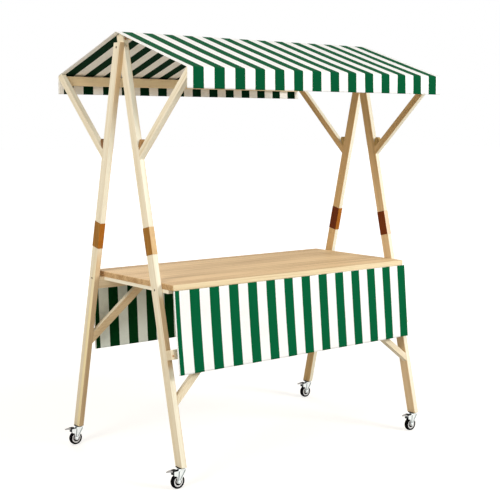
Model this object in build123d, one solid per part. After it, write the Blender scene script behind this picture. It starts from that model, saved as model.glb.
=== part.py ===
from build123d import *
from math import atan2, cos, degrees, radians, sin, tan
import os

# Timber market stall on castors: two leaning A-frames, a counter top between them,
# a cloth canopy over the ridge, and a striped cloth below the counter, front and rear.
# X runs along the counter, -Y is the customer's side, +Z is up and the floor is Z = 0.
# On each A-frame the rear leg laps the front leg on its outer side.

# A-frames
LEG_THICK = 27.0
LEG_DEPTH = 53.0
LEG_EDGE = 2.0
LEAN = 13.2
LAP_X = 775.0
FOOT_Z = 98.0
FOOT_Y = 446.0
REAR_TOP_RISE = 22.0
BOLT_RECESS_R = 6.0
BOLT_RECESS = 3.0
COUNTER_BOLT_DROP = 5.0

# counter
TOP_Z = 920.0
TOP_THICK = 27.0
TOP_FRONT_Y = 373.0
TOP_REAR_Y = 332.0
TOP_CORNER_R = 12.0
TOP_EDGE = 3.0
TOP_END_GAP = 1.0
LEDGER_THICK = 16.0
LEDGER_WIDTH = 40.0
LEDGER_SETBACK = 36.0
APRON_THICK = 27.0
APRON_DEPTH = 53.0

# lower front rail and the knee braces
RAIL_THICK = 38.0
RAIL_DEPTH = 45.0
RAIL_Z = 592.0
RAIL_SHORT = 13.5
FRONT_BRACE_Z = 388.0
FRONT_BRACE_PITCH = 41.0
FRONT_BRACE_DEPTH = 31.0
REAR_BRACE_Z = 584.0
REAR_BRACE_PITCH = 45.0
REAR_BRACE_DEPTH = 44.0
REAR_BRACE_THICK = 19.0

# canopy and its frame
CANOPY_PITCH = 18.0
CANOPY_RIDGE_Z = 2072.0
CANOPY_HALF_Y = 564.0
CANOPY_OVERHANG = 2.0
CANOPY_CLOTH = 3.0
CLOTH_GAP = 0.5
VALANCE_DROP = 92.0
ARM_THICK = 27.0
ARM_DEPTH = 35.0
ARM_HEEL_Z = 1483.0
ARM_NOSE = 14.0
EAVE_RAIL_THICK = 27.0
EAVE_RAIL_DEPTH = 47.0
RIDGE_WIDTH = 40.0
RIDGE_DEPTH = 24.0
PEG_R = 11.0
PEG_RISE = 55.0
PEG_THICK = 20.0

# sleeves round the legs
BAND_THICK = 1.5
BAND_LOW_Z = 1046.0
BAND_LENGTH = 128.0

# cloths below the counter
SKIRT_OVERLAP = 10.0
SKIRT_CLOTH = 3.0
SKIRT_SETBACK = 2.0
SKIRT_BOTTOM_Z = 512.0
REAR_SKIRT_BOTTOM_Y = 332.0

# castors
PLATE_SIZE = 40.0
PLATE_THICK = 2.5
PLATE_CORNER_R = 5.0
SWIVEL_GAP = 0.3
HEAD_R = 20.0
HEAD_DEPTH = 9.2
HEAD_LIP = 3.0
TRAIL = 20.0
WHEEL_R = 34.0
WHEEL_WIDTH = 20.0
TREAD_CROWN = 2.0
TREAD_SHOULDER = 5.0
TYRE_THICK = 9.5
TYRE_GAP = 0.1
HUB_RIM_WIDTH = 17.0
HUB_RIM = 7.0
HUB_WEB = 6.0
HUB_BOSS_R = 9.0
AXLE_R = 4.0
AXLE_CLEAR = 0.05
AXLE_NUT_R = 6.5
AXLE_NUT = 4.0
FORK_THICK = 2.5
FORK_GAP = 3.0
FORK_EYE_R = 8.0
FORK_RIB = 1.2
FORK_RIB_WIDTH = 4.0
FORK_FRONT = 17.0
FORK_BACK = 46.0
FORK_BACK_DEPTH = 20.0
FORK_NECK_Z = 60.0
PEDAL_PIVOT_X = -29.0
PEDAL_PIVOT_DROP = 15.0
PEDAL_PIN_R = 2.5
PEDAL_PIN_CLEAR = 0.3
PEDAL_REACH = 80.0
PEDAL_HALF_WIDTH = 11.5
PEDAL_THICK = 3.0
PEDAL_TAPER = 20.0
PEDAL_TIP_HALF_WIDTH = 4.0
PEDAL_FLANGE = 37.0

SLOPE = tan(radians(LEAN))
LEG_LEVEL = LEG_DEPTH / cos(radians(LEAN))
CROSS_Z = FOOT_Z + FOOT_Y / SLOPE
FRONT_INNER_X = LAP_X - LEG_THICK
LEG_X = {"front": LAP_X - LEG_THICK / 2, "rear": LAP_X + LEG_THICK / 2}
DEPTH_SIDE = {"front": -1, "rear": 1}
END_SIDE = {"left": -1, "right": 1}
TOP_UNDER_Z = TOP_Z - TOP_THICK
OUTER_X = LAP_X + LEG_THICK
CANOPY_HALF_X = OUTER_X + CANOPY_OVERHANG
SKIRT_HALF_X = FRONT_INNER_X + SKIRT_OVERLAP
PITCH_SLOPE = tan(radians(CANOPY_PITCH))
CANOPY_LEVEL = CANOPY_CLOTH / cos(radians(CANOPY_PITCH))
ROOM_RIDGE_Z = CANOPY_RIDGE_Z - CANOPY_LEVEL - CLOTH_GAP
ROOM_HALF_Y = CANOPY_HALF_Y - CANOPY_CLOTH - CLOTH_GAP
WHEEL_FORK_Y = WHEEL_WIDTH / 2 + FORK_GAP
HEAD_TOP_Z = FOOT_Z - PLATE_THICK - SWIVEL_GAP
CROWN_Z = HEAD_TOP_Z - HEAD_DEPTH
PEDAL_PIVOT_Z = HEAD_TOP_Z - PEDAL_PIVOT_DROP


def save(node, *solids):
    """Write one sub-part, of one or more solids, under its node name."""
    shape = solids[0] if len(solids) == 1 else Compound(children=list(solids))
    export_step(shape, f"parts/{node}.step")


def block(x0, x1, y0, y1, z0, z1):
    """Box between two corners."""
    centre = Pos((x0 + x1) / 2, (y0 + y1) / 2, (z0 + z1) / 2)
    return centre * Box(abs(x1 - x0), abs(y1 - y0), abs(z1 - z0))


def across(points, x0, x1):
    """Prism along X from x0 to x1 over a (Y, Z) outline."""
    face = make_face(Plane.YZ.offset(x0) * Polyline(*points, close=True))
    return extrude(face, amount=x1 - x0, dir=(1, 0, 0))


def eased(bar, direction, radius):
    """Round the arrises of a timber that run along a direction."""
    return fillet(bar.edges().filter_by(Axis((0, 0, 0), direction)), radius)


def lean_frame(depth):
    """Frame of a leg pair's plane: local Z runs up the legs from where they cross."""
    return Pos(0, 0, CROSS_Z) * Rot(DEPTH_SIDE[depth] * LEAN, 0, 0)


def along_leg(z):
    """Place along a leg's centre line, in the leaning frame, of a height above the floor."""
    return (z - CROSS_Z) / cos(radians(LEAN))


def leaned(depth, y, z):
    """(Y, Z) above the floor of a point given in the leaning frame."""
    a = DEPTH_SIDE[depth] * radians(LEAN)
    return y * cos(a) - z * sin(a), CROSS_Z + y * sin(a) + z * cos(a)


def leg_centre_y(z):
    """Distance of a leg's centre line from the middle of the stall at a height."""
    return FOOT_Y - (z - FOOT_Z) * SLOPE


def room_z(y):
    """Height of the underside of the canopy over a line along X."""
    return ROOM_RIDGE_Z - abs(y) * PITCH_SLOPE


def room_below_canopy():
    """All the space between the floor of the legs, the valances and the slopes."""
    outline = [
        (-ROOM_HALF_Y, FOOT_Z),
        (ROOM_HALF_Y, FOOT_Z),
        (ROOM_HALF_Y, room_z(ROOM_HALF_Y)),
        (0, ROOM_RIDGE_Z),
        (-ROOM_HALF_Y, room_z(ROOM_HALF_Y)),
    ]
    return across(outline, -OUTER_X - LEG_THICK, OUTER_X + LEG_THICK)


def bolt_recess(end, depth, z):
    """Counterbore in a leg's outer face, on its centre line, for the head of a bolt."""
    face_x = END_SIDE[end] * (LEG_X[depth] + LEG_THICK / 2)
    bore = Pos(face_x, 0, along_leg(z)) * Rot(0, 90, 0) * Cylinder(BOLT_RECESS_R, 2 * BOLT_RECESS)
    return lean_frame(depth) * bore


def leg(end, depth):
    """Leg of one timber, cut level at the foot. Front legs reach the canopy, rear legs stop short."""
    low = along_leg(FOOT_Z) - LEG_DEPTH
    high = along_leg(CANOPY_RIDGE_Z) + LEG_DEPTH
    bar = eased(Box(LEG_THICK, LEG_DEPTH, high - low), (0, 0, 1), LEG_EDGE)
    x = END_SIDE[end] * LEG_X[depth]
    bar = lean_frame(depth) * Pos(x, 0, (low + high) / 2) * bar
    bar -= bolt_recess(end, depth, TOP_UNDER_Z - COUNTER_BOLT_DROP)
    if depth == "front":
        return bar & room_below_canopy()
    bar -= bolt_recess(end, depth, CROSS_Z)
    top = CROSS_Z + REAR_TOP_RISE
    return bar & block(x - LEG_THICK, x + LEG_THICK, -FOOT_Y * 2, FOOT_Y * 2, FOOT_Z, top)


def leg_band(end, depth):
    """Thin sleeve round a leg, square to it."""
    low = along_leg(BAND_LOW_Z)
    high = low + BAND_LENGTH
    outer = Box(LEG_THICK + 2 * BAND_THICK, LEG_DEPTH + 2 * BAND_THICK, high - low)
    outer = eased(outer, (0, 0, 1), LEG_EDGE + BAND_THICK)
    inner = Box(LEG_THICK, LEG_DEPTH, high - low)
    place = lean_frame(depth) * Pos(END_SIDE[end] * LEG_X[depth], 0, (low + high) / 2)
    return place * (outer - inner)


def counter_top():
    """Board between the A-frames, with rounded corners and eased edges."""
    half = FRONT_INNER_X - TOP_END_GAP
    board = block(-half, half, -TOP_FRONT_Y, TOP_REAR_Y, TOP_UNDER_Z, TOP_Z)
    board = fillet(board.edges().filter_by(Axis.Z), TOP_CORNER_R)
    rims = board.faces().sort_by(Axis.Z)
    return chamfer(rims[0].edges() + rims[-1].edges(), TOP_EDGE)


def end_ledger(end):
    """Batten under the counter's end, bolted to the front leg and butted to the apron."""
    side = END_SIDE[end]
    rear = leg_centre_y(TOP_UNDER_Z) - LEG_LEVEL / 2
    x0 = side * (FRONT_INNER_X - LEDGER_WIDTH)
    x1 = side * FRONT_INNER_X
    y0 = LEDGER_SETBACK - TOP_FRONT_Y
    return block(x0, x1, y0, rear, TOP_UNDER_Z - LEDGER_THICK, TOP_UNDER_Z)


def apron_low():
    """Lower edge of the rear apron in the leaning frame."""
    return along_leg(TOP_UNDER_Z) - APRON_DEPTH


def rear_apron():
    """Rail between the rear legs, flush with their inner side, its top planed level."""
    y0 = -LEG_DEPTH / 2
    bar = block(-LAP_X, LAP_X, y0, y0 + APRON_THICK, apron_low(), along_leg(TOP_Z))
    bar = lean_frame("rear") * bar
    return bar & block(-LAP_X, LAP_X, 0, FOOT_Y, FOOT_Z, TOP_UNDER_Z)


def front_rail():
    """Rail lapped on the front of the front legs, whose right end stops short of the leg's outer side."""
    y1 = -LEG_DEPTH / 2
    middle = along_leg(RAIL_Z)
    bar = block(-LAP_X, LAP_X - RAIL_SHORT, y1 - RAIL_THICK, y1, middle - RAIL_DEPTH / 2, middle + RAIL_DEPTH / 2)
    return lean_frame("front") * eased(bar, (1, 0, 0), LEG_EDGE)


def knee_brace(end, depth):
    """Brace from a leg's inner side up to the rail or apron, in the legs' plane."""
    if depth == "front":
        foot_z, head_z = along_leg(FRONT_BRACE_Z), along_leg(RAIL_Z) + RAIL_DEPTH / 2
        pitch, deep, thick = radians(FRONT_BRACE_PITCH), FRONT_BRACE_DEPTH, LEG_THICK
    else:
        foot_z, head_z = along_leg(REAR_BRACE_Z), apron_low()
        pitch, deep, thick = radians(REAR_BRACE_PITCH), REAR_BRACE_DEPTH, REAR_BRACE_THICK
    side = END_SIDE[end]
    foot_x = LEG_X[depth] - LEG_THICK / 2
    half = deep / 2 / cos(pitch)
    outline = [
        (side * foot_x, foot_z - half),
        (side * foot_x, foot_z + half),
        (side * (foot_x - (head_z - foot_z - half) / tan(pitch)), head_z),
        (side * (foot_x - (head_z - foot_z + half) / tan(pitch)), head_z),
    ]
    face = make_face(Plane.XZ.offset(LEG_DEPTH / 2) * Polyline(*outline, close=True))
    return lean_frame(depth) * extrude(face, amount=thick, dir=(0, 1, 0))


def arm_line():
    """Heel (outward Y, Z) of a canopy arm on its leg, and the arm's pitch from there to the eave."""
    heel_y = leg_centre_y(ARM_HEEL_Z) + LEG_LEVEL / 2
    nose_z = room_z(ROOM_HALF_Y) - ARM_NOSE
    return heel_y, ARM_HEEL_Z, atan2(nose_z - ARM_HEEL_Z, ROOM_HALF_Y - heel_y)


def arm_crotch():
    """(outward Y, Z) where the top of a canopy arm meets its leg."""
    y, z, pitch = arm_line()
    seat = ARM_DEPTH / cos(pitch - radians(LEAN))
    return y - seat * sin(radians(LEAN)), z + seat * cos(radians(LEAN))


def canopy_arm(end, depth):
    """Arm from a leg's outer side up to the eave, mitred to the leg and cut under the canopy."""
    side = DEPTH_SIDE[depth]
    y, z, pitch = arm_line()
    crotch_y, crotch_z = arm_crotch()
    step_y, step_z = 2 * ROOM_HALF_Y * cos(pitch), 2 * ROOM_HALF_Y * sin(pitch)
    outline = [
        (side * y, z),
        (side * (y + step_y), z + step_z),
        (side * (crotch_y + step_y), crotch_z + step_z),
        (side * crotch_y, crotch_z),
    ]
    x = END_SIDE[end] * LEG_X[depth]
    arm = across(outline, x - ARM_THICK / 2, x + ARM_THICK / 2)
    arm = eased(arm, (0, side * step_y, step_z), LEG_EDGE)
    return arm & room_below_canopy()


def arm_peg(end, depth):
    """Round-topped block wedged into the crotch between a leg and its canopy arm."""
    side = DEPTH_SIDE[depth]
    y, z = arm_crotch()
    pitch = arm_line()[2]
    leg_up = radians(90 + LEAN)
    middle = (leg_up + pitch) / 2
    flank = PEG_R / tan((leg_up - pitch) / 2)
    top = PEG_RISE - PEG_R
    outline = [(0, 0), (PEG_R, flank), (PEG_R, top), (-PEG_R, top), (-PEG_R, flank)]
    arch = make_face(Plane.YZ * Polyline(*outline, close=True))
    arch += Plane.YZ * Pos(0, top) * Circle(PEG_R)
    peg = extrude(arch, amount=PEG_THICK / 2, both=True)
    tilt = 90 - degrees(middle)
    x = END_SIDE[end] * LEG_X[depth]
    return Pos(x, side * y, z) * Rot(-side * tilt, 0, 0) * peg


def ridge_pole():
    """Flat pole under the ridge between the front legs."""
    high = room_z(RIDGE_WIDTH / 2)
    half = RIDGE_WIDTH / 2
    bar = block(-FRONT_INNER_X, FRONT_INNER_X, -half, half, high - RIDGE_DEPTH, high)
    return eased(bar, (1, 0, 0), LEG_EDGE)


def eave_rail(depth):
    """Rail between two canopy arms, inside the valance."""
    side = DEPTH_SIDE[depth]
    half = LEG_X[depth] - ARM_THICK / 2
    high = room_z(ROOM_HALF_Y)
    y0 = side * (ROOM_HALF_Y - EAVE_RAIL_THICK)
    bar = block(-half, half, y0, side * ROOM_HALF_Y, high - EAVE_RAIL_DEPTH, high)
    return eased(bar, (1, 0, 0), LEG_EDGE)


def canopy():
    """Cloth over the ridge, with a valance hanging at each eave."""
    eave = CANOPY_RIDGE_Z - CANOPY_HALF_Y * PITCH_SLOPE
    inner_y = CANOPY_HALF_Y - CANOPY_CLOTH
    inner_ridge = CANOPY_RIDGE_Z - CANOPY_LEVEL
    inner_eave = inner_ridge - inner_y * PITCH_SLOPE
    hem = eave - VALANCE_DROP
    right = [(CANOPY_HALF_Y, eave), (CANOPY_HALF_Y, hem), (inner_y, hem), (inner_y, inner_eave)]
    left = [(-y, z) for y, z in reversed(right)]
    outline = [(0, CANOPY_RIDGE_Z), *right, (0, inner_ridge), *left]
    return across(outline, -CANOPY_HALF_X, CANOPY_HALF_X)


def hanging_cloth(top_y, bottom_y, outward):
    """Cloth from the counter's underside down to the hem, its outer face through two lines."""
    thick = outward * SKIRT_CLOTH
    high = TOP_UNDER_Z - CLOTH_GAP
    outline = [
        (top_y, high),
        (bottom_y, SKIRT_BOTTOM_Z),
        (bottom_y - thick, SKIRT_BOTTOM_Z),
        (top_y - thick, high),
    ]
    return across(outline, -SKIRT_HALF_X, SKIRT_HALF_X)


def front_cloth():
    """Front cloth, which leans out over the lower edge of the front rail."""
    top_y = SKIRT_SETBACK - TOP_FRONT_Y
    edge_y, edge_z = leaned("front", -LEG_DEPTH / 2 - RAIL_THICK, along_leg(RAIL_Z) - RAIL_DEPTH / 2)
    edge_y -= SKIRT_CLOTH + CLOTH_GAP
    high = TOP_UNDER_Z - CLOTH_GAP
    bottom_y = top_y + (edge_y - top_y) * (high - SKIRT_BOTTOM_Z) / (high - edge_z)
    return hanging_cloth(top_y, bottom_y, DEPTH_SIDE["front"])


def rear_cloth():
    """Rear cloth, which hangs from the counter's rear edge behind the knee braces."""
    return hanging_cloth(TOP_REAR_Y - SKIRT_SETBACK, REAR_SKIRT_BOTTOM_Y, DEPTH_SIDE["rear"])


def castor_place(end, depth):
    """Foot of a leg on the floor, the origin of its castor."""
    return Pos(END_SIDE[end] * LEG_X[depth], DEPTH_SIDE[depth] * FOOT_Y, 0)


def castor_plate():
    """Plate under the leg that the castor swivels on."""
    half = PLATE_SIZE / 2
    plate = block(-half, half, -half, half, FOOT_Z - PLATE_THICK, FOOT_Z)
    return fillet(plate.edges().filter_by(Axis.Z), PLATE_CORNER_R)


def wheel_turn(outline):
    """Solid of revolution about the wheel's axle from (radius, Y) points."""
    face = make_face(Plane.XY * Polyline(*outline, close=True))
    return Pos(-TRAIL, 0, WHEEL_R) * revolve(face, Axis.Y)


def tyre():
    """Rubber tyre with a crowned tread."""
    half = WHEEL_WIDTH / 2
    side = [
        (WHEEL_R, half - TREAD_SHOULDER),
        (WHEEL_R - TREAD_CROWN, half),
        (WHEEL_R - TYRE_THICK, half),
    ]
    return wheel_turn(side + [(r, -y) for r, y in reversed(side)])


def wheel_hub():
    """Hub with a rim, a thin web and a boss that runs on the axle."""
    rim = WHEEL_R - TYRE_THICK - TYRE_GAP
    half = HUB_RIM_WIDTH / 2
    boss = WHEEL_FORK_Y - SWIVEL_GAP
    side = [
        (AXLE_R, boss),
        (HUB_BOSS_R, boss),
        (HUB_BOSS_R, HUB_WEB / 2),
        (rim - HUB_RIM, HUB_WEB / 2),
        (rim - HUB_RIM, half),
        (rim, half),
    ]
    return wheel_turn(side + [(r, -y) for r, y in reversed(side)])


def fork_side():
    """Outline of one fork cheek: long at the crown to carry the pedal, narrow at the axle eye."""
    eye_x, eye_z = -TRAIL, WHEEL_R
    outline = [
        (FORK_FRONT, CROWN_Z),
        (FORK_FRONT, CROWN_Z - FORK_EYE_R),
        (eye_x + FORK_EYE_R, eye_z),
        (eye_x - FORK_EYE_R, eye_z),
        (eye_x - FORK_EYE_R - FORK_THICK, FORK_NECK_Z),
        (-FORK_BACK, CROWN_Z - FORK_BACK_DEPTH),
        (-FORK_BACK, CROWN_Z),
    ]
    cheek = make_face(Plane.XZ * Polyline(*outline, close=True))
    return cheek + Plane.XZ * Pos(eye_x, eye_z) * Circle(FORK_EYE_R)


def fork_rib(foot_x, head_x):
    """Pressed rib on a cheek, from the crown down to the axle eye."""
    half = FORK_RIB_WIDTH / 2
    low = WHEEL_R + FORK_EYE_R
    outline = [
        (head_x - half, CROWN_Z),
        (head_x + half, CROWN_Z),
        (foot_x + half, low),
        (foot_x - half, low),
    ]
    return make_face(Plane.XZ * Polyline(*outline, close=True))


def castor_fork():
    """Swivel head, crown and ribbed cheeks, with the axle and the pedal's pin."""
    head = [
        (0, CROWN_Z),
        (HEAD_R, CROWN_Z),
        (HEAD_R, HEAD_TOP_Z - HEAD_LIP),
        (HEAD_R - HEAD_LIP, HEAD_TOP_Z),
        (0, HEAD_TOP_Z),
    ]
    fork = revolve(make_face(Plane.XZ * Polyline(*head, close=True)), Axis.Z)
    outer = WHEEL_FORK_Y + FORK_THICK
    fork += block(-HEAD_R, FORK_FRONT, -outer, outer, CROWN_Z - FORK_THICK, CROWN_Z)
    front_rib = fork_rib(FORK_RIB_WIDTH - TRAIL, FORK_FRONT - FORK_RIB_WIDTH)
    back_rib = fork_rib(-FORK_RIB_WIDTH - TRAIL, -TRAIL)
    for side in (-1, 1):
        cheek = extrude(fork_side(), amount=FORK_THICK, dir=(0, side, 0))
        fork += Pos(0, side * WHEEL_FORK_Y, 0) * cheek
        for outline in (front_rib, back_rib):
            rib = extrude(outline, amount=FORK_RIB, dir=(0, side, 0))
            fork += Pos(0, side * outer, 0) * rib
    inner_width = 2 * WHEEL_FORK_Y
    axle = Cylinder(AXLE_NUT_R, 2 * (outer + AXLE_NUT)) - Cylinder(AXLE_NUT_R, inner_width)
    axle += Cylinder(AXLE_R - AXLE_CLEAR, inner_width)
    fork += Pos(-TRAIL, 0, WHEEL_R) * Rot(90, 0, 0) * axle
    pin = Cylinder(PEDAL_PIN_R, 2 * outer)
    return fork + Pos(PEDAL_PIVOT_X, 0, PEDAL_PIVOT_Z) * Rot(90, 0, 0) * pin


def pedal_plan():
    """Outline of the pedal from above: parallel sides and a tapered tip."""
    shoulder_x = PEDAL_TAPER - PEDAL_REACH
    side = [
        (0, PEDAL_HALF_WIDTH),
        (shoulder_x, PEDAL_HALF_WIDTH),
        (-PEDAL_REACH, PEDAL_TIP_HALF_WIDTH),
    ]
    return make_face(Plane.XY * Polyline(*side, *[(x, -y) for x, y in reversed(side)], close=True))


def brake_pedal():
    """Foot pedal pressed from sheet: a cranked tread and a flange each side, on the fork's pin."""
    ear_r = PEDAL_PIN_R * 2
    z0 = PEDAL_PIVOT_Z + ear_r
    root_x = PEDAL_PIVOT_X + ear_r
    bend_x = PEDAL_PIVOT_X - ear_r
    crank = [(root_x, z0), (bend_x, z0 + PEDAL_THICK), (-PEDAL_REACH, z0)]
    over = [(x, z + PEDAL_THICK) for x, z in reversed(crank)]
    tread = make_face(Plane.XZ.offset(-PEDAL_HALF_WIDTH) * Polyline(*crank, *over, close=True))
    pedal = extrude(tread, amount=2 * PEDAL_HALF_WIDTH, dir=(0, -1, 0))
    skirt = [
        (root_x, PEDAL_PIVOT_Z),
        (bend_x, PEDAL_PIVOT_Z),
        (bend_x - PEDAL_FLANGE, z0 + PEDAL_THICK / 2),
        (bend_x, z0 + 3 / 2 * PEDAL_THICK),
        (root_x, z0 + PEDAL_THICK / 2),
    ]
    flange = make_face(Plane.XZ * Polyline(*skirt, close=True))
    flange += Plane.XZ * Pos(PEDAL_PIVOT_X, PEDAL_PIVOT_Z) * Circle(ear_r)
    for side in (-1, 1):
        cheek = extrude(flange, amount=PEDAL_THICK, dir=(0, -side, 0))
        pedal += Pos(0, side * PEDAL_HALF_WIDTH, 0) * cheek
    pedal &= extrude(pedal_plan(), amount=HEAD_TOP_Z, dir=(0, 0, 1))
    bore = Rot(90, 0, 0) * Cylinder(PEDAL_PIN_R + PEDAL_PIN_CLEAR, 4 * PEDAL_HALF_WIDTH)
    return pedal - Pos(PEDAL_PIVOT_X, 0, PEDAL_PIVOT_Z) * bore


def main():
    os.makedirs("parts", exist_ok=True)
    corners = [(end, depth) for end in END_SIDE for depth in DEPTH_SIDE]
    for end, depth in corners:
        name = f"{depth}_{end}"
        place = castor_place(end, depth)
        save(f"leg_{name}", leg(end, depth))
        save(f"knee_brace_{name}", knee_brace(end, depth))
        save(f"canopy_arm_{name}", canopy_arm(end, depth))
        save(f"castor_fork_{name}", place * castor_fork())
        save(f"tyre_{name}", place * tyre())
        save(f"wheel_hub_{name}", place * wheel_hub())
        save(f"brake_pedal_{name}", place * brake_pedal())
    save("leg_bands", *[leg_band(*corner) for corner in corners])
    save("arm_pegs", *[arm_peg(*corner) for corner in corners])
    save("castor_plates", *[castor_place(*corner) * castor_plate() for corner in corners])
    save("counter_top", counter_top())
    save("rear_apron", rear_apron())
    save("front_rail", front_rail())
    save("ridge_pole", ridge_pole())
    save("canopy", canopy())
    save("front_cloth", front_cloth())
    save("rear_cloth", rear_cloth())
    for end in END_SIDE:
        save(f"end_ledger_{end}", end_ledger(end))
    for depth in DEPTH_SIDE:
        save(f"eave_rail_{depth}", eave_rail(depth))


main()
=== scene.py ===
import math
import random
import bmesh
import bpy
from mathutils import Matrix, Vector, noise

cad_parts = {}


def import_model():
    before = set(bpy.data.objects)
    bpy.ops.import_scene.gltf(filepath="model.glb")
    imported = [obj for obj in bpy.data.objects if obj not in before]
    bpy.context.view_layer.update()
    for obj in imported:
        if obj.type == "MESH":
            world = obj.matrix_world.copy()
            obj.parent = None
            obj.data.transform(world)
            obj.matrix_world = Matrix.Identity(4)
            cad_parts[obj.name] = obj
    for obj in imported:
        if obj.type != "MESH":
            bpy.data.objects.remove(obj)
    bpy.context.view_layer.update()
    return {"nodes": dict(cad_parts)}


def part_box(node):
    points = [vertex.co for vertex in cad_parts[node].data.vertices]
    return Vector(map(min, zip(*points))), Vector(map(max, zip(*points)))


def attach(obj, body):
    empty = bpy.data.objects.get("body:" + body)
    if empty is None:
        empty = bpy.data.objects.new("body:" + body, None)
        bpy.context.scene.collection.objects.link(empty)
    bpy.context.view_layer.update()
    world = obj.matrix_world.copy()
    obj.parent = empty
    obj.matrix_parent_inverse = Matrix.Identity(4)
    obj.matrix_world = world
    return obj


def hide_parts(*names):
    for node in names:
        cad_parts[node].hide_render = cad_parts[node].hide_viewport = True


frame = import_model()
NODES = frame["nodes"]
STALL = "stall"
CORNERS = [(depth, end) for depth in ("front", "rear") for end in ("left", "right")]
SIDE = {"front": -1, "rear": 1, "left": -1, "right": 1}

# Camera: focal length and place found from the photograph, in its 500 pixel frame
FOCAL_PX = 1069.3
PICTURE_PX = 500
SENSOR_MM = 36.0
CAMERA_AZIMUTH = -38.26
CAMERA_PITCH = -6.63
CAMERA_AT = (-3.4351, -4.3427, 1.6376)

# Timber frame, in metres and degrees
LEAN = 13.2
CROSS_Z = 1.9996
CANOPY_PITCH = 18.0

# Cloth
STRIPE_PITCH = 1.604 / 14
SKIRT_PITCH = 0.1130
SELVEDGE = 0.006
STRIPE_SHARE = 0.50
CLOTH = 0.0008
HEM = 0.022
HEM_THICK = 0.0020
STITCH_LONG = 0.0042
STITCH_GAP = 0.0026
STITCH_R = 0.00035
STITCH_SIDES = 5
STITCH_FORM = ((0.0, -0.2, 0.35), (0.18, 0.75, 1.0), (0.82, 0.75, 1.0), (1.0, -0.2, 0.35))
STITCH_INSET = HEM - 0.004


def add(tree, kind, settings=None, **inputs):
    """One shader node. Inputs are sockets to link from, or plain values, by name or by i and number."""
    node = tree.nodes.new(kind)
    for key, value in (settings or {}).items():
        setattr(node, key, value)
    for key, value in inputs.items():
        socket = node.inputs[int(key[1:])] if key[0] == "i" and key[1:].isdigit() else node.inputs[key]
        if isinstance(value, bpy.types.NodeSocket):
            tree.links.new(value, socket)
        else:
            socket.default_value = value
    return node


def math_node(tree, operation, *values):
    """Result of a Math node on sockets or numbers."""
    settings = {"operation": operation}
    return add(tree, "ShaderNodeMath", settings, **{f"i{n}": v for n, v in enumerate(values)}).outputs[0]


def vector_node(tree, operation, *values):
    """Result of a Vector Math node: its vector, or its number for a length or a dot product."""
    settings = {"operation": operation}
    node = add(tree, "ShaderNodeVectorMath", settings, **{f"i{n}": v for n, v in enumerate(values)})
    return node.outputs["Value" if operation in ("LENGTH", "DOT_PRODUCT") else "Vector"]


def along_axis(tree, vector, axis):
    """One of a vector's three numbers."""
    return add(tree, "ShaderNodeSeparateXYZ", Vector=vector).outputs[axis]


def ramp(tree, value, low, high, to_low=0.0, to_high=1.0):
    """A value mapped smoothly from one range to another."""
    node = add(tree, "ShaderNodeMapRange", {"interpolation_type": "SMOOTHSTEP"},
               i0=value, i1=low, i2=high, i3=to_low, i4=to_high)
    return node.outputs[0]


# A Mix node's sockets for the share and the two colours
MIX_SOCKETS = (0, 6, 7)


def mix_rgb(tree, share, first, second):
    """Colour between two sockets or colours, by a share of 0 to 1."""
    node = tree.nodes.new("ShaderNodeMix")
    node.data_type = "RGBA"
    for number, value in zip(MIX_SOCKETS, (share, first, second)):
        socket = node.inputs[number]
        if isinstance(value, bpy.types.NodeSocket):
            tree.links.new(value, socket)
        else:
            socket.default_value = (*value, 1.0) if isinstance(value, tuple) else value
    return node.outputs[2]


def material(name, roughness=0.5, metallic=0.0):
    """A new material with its node tree and its surface shader."""
    made = bpy.data.materials.new(name)
    made.use_nodes = True
    shader = made.node_tree.nodes["Principled BSDF"]
    shader.inputs["Roughness"].default_value = roughness
    shader.inputs["Metallic"].default_value = metallic
    return made, made.node_tree, shader


def bump(tree, shader, height, distance, strength=1.0):
    """Relief on a surface from a height of 0 to 1."""
    node = add(tree, "ShaderNodeBump", Height=height, Distance=distance, Strength=strength)
    tree.links.new(node.outputs[0], shader.inputs["Normal"])


def noise_node(tree, place, scale, detail=2.0, roughness=0.5):
    """Noise texture on a place stretched by a scale along each axis."""
    return add(tree, "ShaderNodeTexNoise", Vector=vector_node(tree, "MULTIPLY", place, scale),
               Scale=1.0, Detail=detail, Roughness=roughness)


def centred(tree, value, weight, middle=0.5):
    """A noise value about its middle, weighted."""
    return math_node(tree, "MULTIPLY", math_node(tree, "SUBTRACT", value, middle), weight)


def varied(tree, colour, change):
    """A colour made lighter or darker by a share of change."""
    value = math_node(tree, "ADD", change, 1.0)
    return add(tree, "ShaderNodeHueSaturation", Color=colour, Value=value).outputs[0]


# Wood: growth rings round a pith outside the board, streaks and fibres along it, and a few knots.
# A pair of colours is the early and the late wood.
PALE = ((0.87, 0.795, 0.63), (0.70, 0.585, 0.39))
# Painted shade: warmer, darker wood on the timbers' inner faces and on spans of the left legs' front faces,
# deeper still on the right frame
PAINTED_SHADE_WOOD = ((0.80, 0.61, 0.38), (0.60, 0.42, 0.23))
PAINTED_DEEP_SHADE_WOOD = ((0.80, 0.54, 0.26), (0.52, 0.335, 0.135))
HONEY = ((0.96, 0.85, 0.54), (0.84, 0.69, 0.38))
# Painted light: paler wood on the faces of legs and arms toward the customer
PAINTED_LIGHT_WOOD = ((0.95, 0.92, 0.77), (0.80, 0.72, 0.54))
# The ledgers' own pale wood, which also paints light on the knee braces' upper faces
LEDGER_AND_PAINTED_LIGHT = ((0.90, 0.85, 0.70), (0.78, 0.69, 0.50))
COUNTER = ((0.84, 0.61, 0.34), (0.36, 0.20, 0.08))
APRON = ((0.87, 0.72, 0.50), (0.66, 0.49, 0.28))
BRACE = ((0.90, 0.72, 0.46), (0.70, 0.50, 0.28))
EAVE = ((0.96, 0.79, 0.50), (0.82, 0.61, 0.36))
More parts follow.
